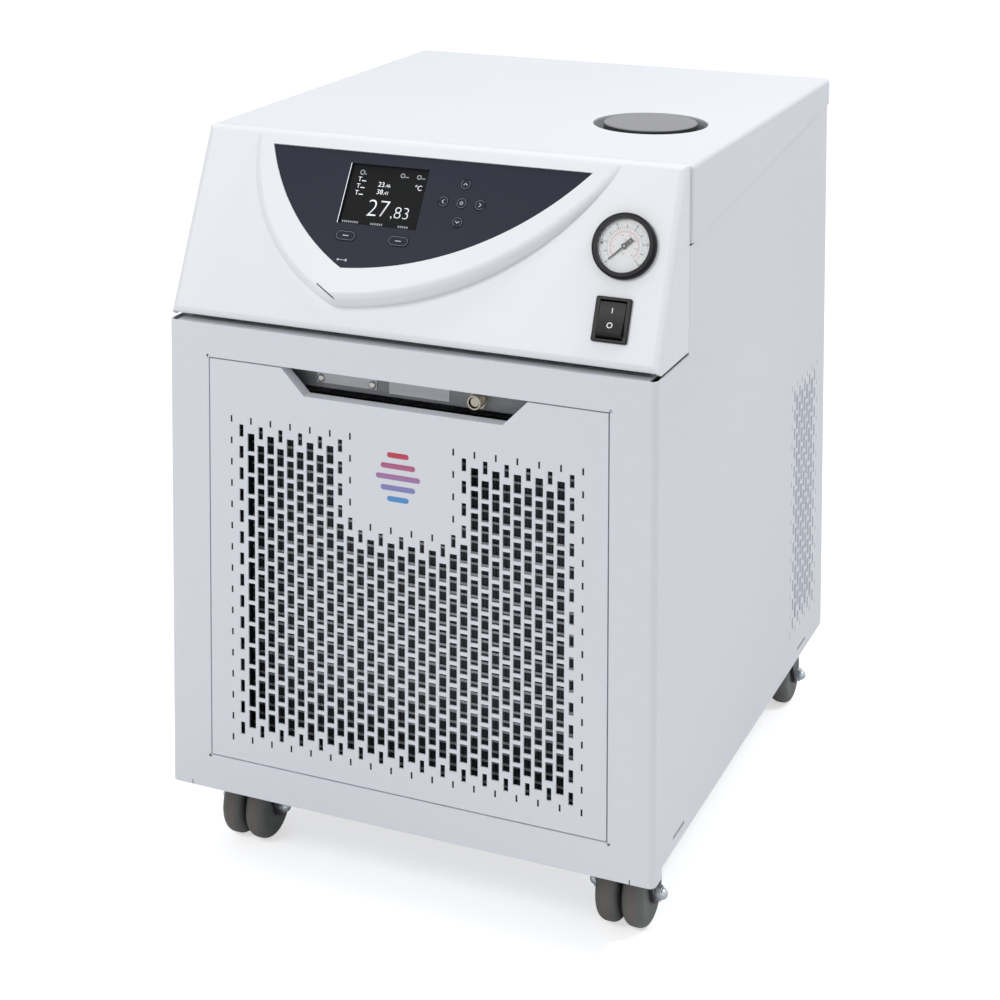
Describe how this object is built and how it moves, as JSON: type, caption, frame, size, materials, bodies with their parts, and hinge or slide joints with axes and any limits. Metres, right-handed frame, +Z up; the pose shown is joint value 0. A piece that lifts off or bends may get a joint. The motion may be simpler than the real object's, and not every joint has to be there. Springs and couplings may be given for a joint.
{
  "type": "recirculating chiller",
  "caption": "Floor-standing recirculating chiller: white cabinet on casters, slotted grille door, slanted head with display, keys, gauge and mains switch, and a filler cap in the lid.",
  "frame": {"origin": "on the floor, under the middle of the overall box", "axes": "front faces -Y, +X is the right-hand side seen from the front, +Z is up"},
  "size_m": [0.454, 0.5795, 0.6515],
  "materials": {
    "panel_white": "fine powder coat, semi-gloss",
    "head_white": "smooth, semi-matt",
    "fascia_grey": "smooth film",
    "screen_black": "gloss",
    "key_grey": "matt",
    "gauge_black": "gloss",
    "dial_white": "matt",
    "needle_black": "matt",
    "clear": "clear",
    "switch_black": "fine texture",
    "inner_grey": "satin",
    "screw_steel": "plated",
    "neck_grey": "matt",
    "cap_dark": "matt",
    "tank_steel": "brushed",
    "fin_aluminium": "mill finish",
    "galvanised": "galvanised",
    "motor_black": "painted, satin",
    "pump_metal": "cast",
    "hose_black": "matt",
    "copper": "drawn copper tube",
    "box_grey": "matt",
    "nozzle_steel": "turned",
    "tap_brass": "plated",
    "black_plastic": "fine texture",
    "caster_zinc": "zinc plated",
    "fork_black": "satin",
    "wheel_grey": "matt",
    "brake_metal": "plated"
  },
  "bodies": {
    "cabinet": {"casing_wrap": "panel_white", "rear_panel": "panel_white", "base_pan": "galvanised", "top_lid": "panel_white", "head_moulding": "head_white", "display_bezel": "head_white", "control_fascia": "fascia_grey", "display_module": "screen_black", "gauge_case": "gauge_black", "gauge_dial": "dial_white", "gauge_window": "clear", "switch_frame": "switch_black", "interface_plate": "inner_grey", "module_cover": "inner_grey", "blank_cover": "inner_grey", "cover_screws": "screw_steel", "signal_connector": "screw_steel", "filler_neck": "neck_grey", "reservoir": "tank_steel", "condenser": "fin_aluminium", "fan_shroud": "galvanised", "fan_motor": "motor_black", "compressor": "motor_black", "evaporator": "tank_steel", "pump_motor": "motor_black", "pump_housing": "pump_metal", "coolant_hoses": "hose_black", "refrigerant_lines": "copper", "electronics_box": "box_grey", "pump_nozzles": "nozzle_steel", "drain_tap": "tap_brass", "mains_inlet": "black_plastic", "caster_plates": "caster_zinc"},
    "key_up": {"key_up": "key_grey"},
    "key_down": {"key_down": "key_grey"},
    "key_left": {"key_left": "key_grey"},
    "key_right": {"key_right": "key_grey"},
    "key_enter": {"key_enter": "key_grey"},
    "soft_key_left": {"soft_key_left": "key_grey"},
    "soft_key_right": {"soft_key_right": "key_grey"},
    "gauge_needle": {"gauge_needle": "needle_black"},
    "switch_rocker": {"switch_rocker": "switch_black"},
    "grille_door": {"grille_door": "panel_white"},
    "filler_cap": {"filler_cap": "cap_dark"},
    "fan_rotor": {"fan_rotor": "fin_aluminium"},
    "drain_handle": {"drain_handle": "black_plastic"},
    "caster_fork_front_left": {"caster_fork_front_left": "fork_black"},
    "wheel_front_left_left": {"wheel_front_left_left": "wheel_grey"},
    "wheel_front_left_right": {"wheel_front_left_right": "wheel_grey"},
    "brake_lever_front_left": {"brake_lever_front_left": "brake_metal"},
    "caster_fork_front_right": {"caster_fork_front_right": "fork_black"},
    "wheel_front_right_left": {"wheel_front_right_left": "wheel_grey"},
    "wheel_front_right_right": {"wheel_front_right_right": "wheel_grey"},
    "brake_lever_front_right": {"brake_lever_front_right": "brake_metal"},
    "caster_fork_rear_left": {"caster_fork_rear_left": "fork_black"},
    "wheel_rear_left_left": {"wheel_rear_left_left": "wheel_grey"},
    "wheel_rear_left_right": {"wheel_rear_left_right": "wheel_grey"},
    "caster_fork_rear_right": {"caster_fork_rear_right": "fork_black"},
    "wheel_rear_right_left": {"wheel_rear_right_left": "wheel_grey"},
    "wheel_rear_right_right": {"wheel_rear_right_right": "wheel_grey"}
  },
  "joints": [
    {"name": "key_up_press", "type": "slide", "parent": "cabinet", "child": "key_up", "axis": [0, 0.8415, -0.5402], "range_m": [0, 0.0005], "stiffness_N_per_m": 800, "springref_m": -0.0003},
    {"name": "key_down_press", "type": "slide", "parent": "cabinet", "child": "key_down", "axis": [0, 0.8415, -0.5402], "range_m": [0, 0.0005], "stiffness_N_per_m": 800, "springref_m": -0.0003},
    {"name": "key_left_press", "type": "slide", "parent": "cabinet", "child": "key_left", "axis": [0, 0.8415, -0.5402], "range_m": [0, 0.0005], "stiffness_N_per_m": 800, "springref_m": -0.0003},
    {"name": "key_right_press", "type": "slide", "parent": "cabinet", "child": "key_right", "axis": [0, 0.8415, -0.5402], "range_m": [0, 0.0005], "stiffness_N_per_m": 800, "springref_m": -0.0003},
    {"name": "key_enter_press", "type": "slide", "parent": "cabinet", "child": "key_enter", "axis": [0, 0.8415, -0.5402], "range_m": [0, 0.0005], "stiffness_N_per_m": 800, "springref_m": -0.0003},
    {"name": "soft_key_left_press", "type": "slide", "parent": "cabinet", "child": "soft_key_left", "axis": [0, 0.8415, -0.5402], "range_m": [0, 0.0005], "stiffness_N_per_m": 800, "springref_m": -0.0003},
    {"name": "soft_key_right_press", "type": "slide", "parent": "cabinet", "child": "soft_key_right", "axis": [0, 0.8415, -0.5402], "range_m": [0, 0.0005], "stiffness_N_per_m": 800, "springref_m": -0.0003},
    {"name": "needle_turn", "type": "hinge", "parent": "cabinet", "child": "gauge_needle", "pos_m": [0.182, -0.24258, 0.58644], "axis": [0, 0.9085, -0.4179], "range_deg": [0, 270], "stiffness_Nm_per_rad": 0.001, "springref_deg": -5.73},
    {"name": "rocker_tilt", "type": "hinge", "parent": "cabinet", "child": "switch_rocker", "pos_m": [0.18, -0.26423, 0.5298], "axis": [1, 0, 0], "range_deg": [0, 18]},
    {"name": "door_pull", "type": "slide", "parent": "cabinet", "child": "grille_door", "axis": [0, -1, 0], "range_m": [0, 0.05]},
    {"name": "cap_lift", "type": "slide", "parent": "cabinet", "child": "filler_cap", "axis": [0, 0, 1], "range_m": [0, 0.06]},
    {"name": "fan_spin", "type": "hinge", "parent": "cabinet", "child": "fan_rotor", "pos_m": [0, -0.18125, 0.253], "axis": [0, -1, 0], "continuous": true},
    {"name": "drain_turn", "type": "hinge", "parent": "cabinet", "child": "drain_handle", "pos_m": [0.15, 0.27275, 0.141], "axis": [0, 0, 1], "range_deg": [-90, 0]},
    {"name": "swivel_front_left", "type": "hinge", "parent": "cabinet", "child": "caster_fork_front_left", "pos_m": [-0.179, -0.24225, 0.075], "axis": [0, 0, 1], "continuous": true},
    {"name": "roll_front_left_left", "type": "hinge", "parent": "caster_fork_front_left", "child": "wheel_front_left_left", "pos_m": [-0.19075, -0.21425, 0.03], "axis": [1, 0, 0], "continuous": true},
    {"name": "roll_front_left_right", "type": "hinge", "parent": "caster_fork_front_left", "child": "wheel_front_left_right", "pos_m": [-0.16725, -0.21425, 0.03], "axis": [1, 0, 0], "continuous": true},
    {"name": "brake_front_left", "type": "hinge", "parent": "caster_fork_front_left", "child": "brake_lever_front_left", "pos_m": [-0.179, -0.22225, 0.065], "axis": [1, 0, 0], "range_deg": [0, 20]},
    {"name": "swivel_front_right", "type": "hinge", "parent": "cabinet", "child": "caster_fork_front_right", "pos_m": [0.179, -0.24225, 0.075], "axis": [0, 0, 1], "continuous": true},
    {"name": "roll_front_right_left", "type": "hinge", "parent": "caster_fork_front_right", "child": "wheel_front_right_left", "pos_m": [0.16725, -0.21425, 0.03], "axis": [1, 0, 0], "continuous": true},
    {"name": "roll_front_right_right", "type": "hinge", "parent": "caster_fork_front_right", "child": "wheel_front_right_right", "pos_m": [0.19075, -0.21425, 0.03], "axis": [1, 0, 0], "continuous": true},
    {"name": "brake_front_right", "type": "hinge", "parent": "caster_fork_front_right", "child": "brake_lever_front_right", "pos_m": [0.179, -0.22225, 0.065], "axis": [1, 0, 0], "range_deg": [0, 20]},
    {"name": "swivel_rear_left", "type": "hinge", "parent": "cabinet", "child": "caster_fork_rear_left", "pos_m": [-0.179, 0.21575, 0.075], "axis": [0, 0, 1], "continuous": true},
    {"name": "roll_rear_left_left", "type": "hinge", "parent": "caster_fork_rear_left", "child": "wheel_rear_left_left", "pos_m": [-0.19075, 0.24375, 0.03], "axis": [1, 0, 0], "continuous": true},
    {"name": "roll_rear_left_right", "type": "hinge", "parent": "caster_fork_rear_left", "child": "wheel_rear_left_right", "pos_m": [-0.16725, 0.24375, 0.03], "axis": [1, 0, 0], "continuous": true},
    {"name": "swivel_rear_right", "type": "hinge", "parent": "cabinet", "child": "caster_fork_rear_right", "pos_m": [0.179, 0.21575, 0.075], "axis": [0, 0, 1], "continuous": true},
    {"name": "roll_rear_right_left", "type": "hinge", "parent": "caster_fork_rear_right", "child": "wheel_rear_right_left", "pos_m": [0.16725, 0.24375, 0.03], "axis": [1, 0, 0], "continuous": true},
    {"name": "roll_rear_right_right", "type": "hinge", "parent": "caster_fork_rear_right", "child": "wheel_rear_right_right", "pos_m": [0.19075, 0.24375, 0.03], "axis": [1, 0, 0], "continuous": true}
  ]
}
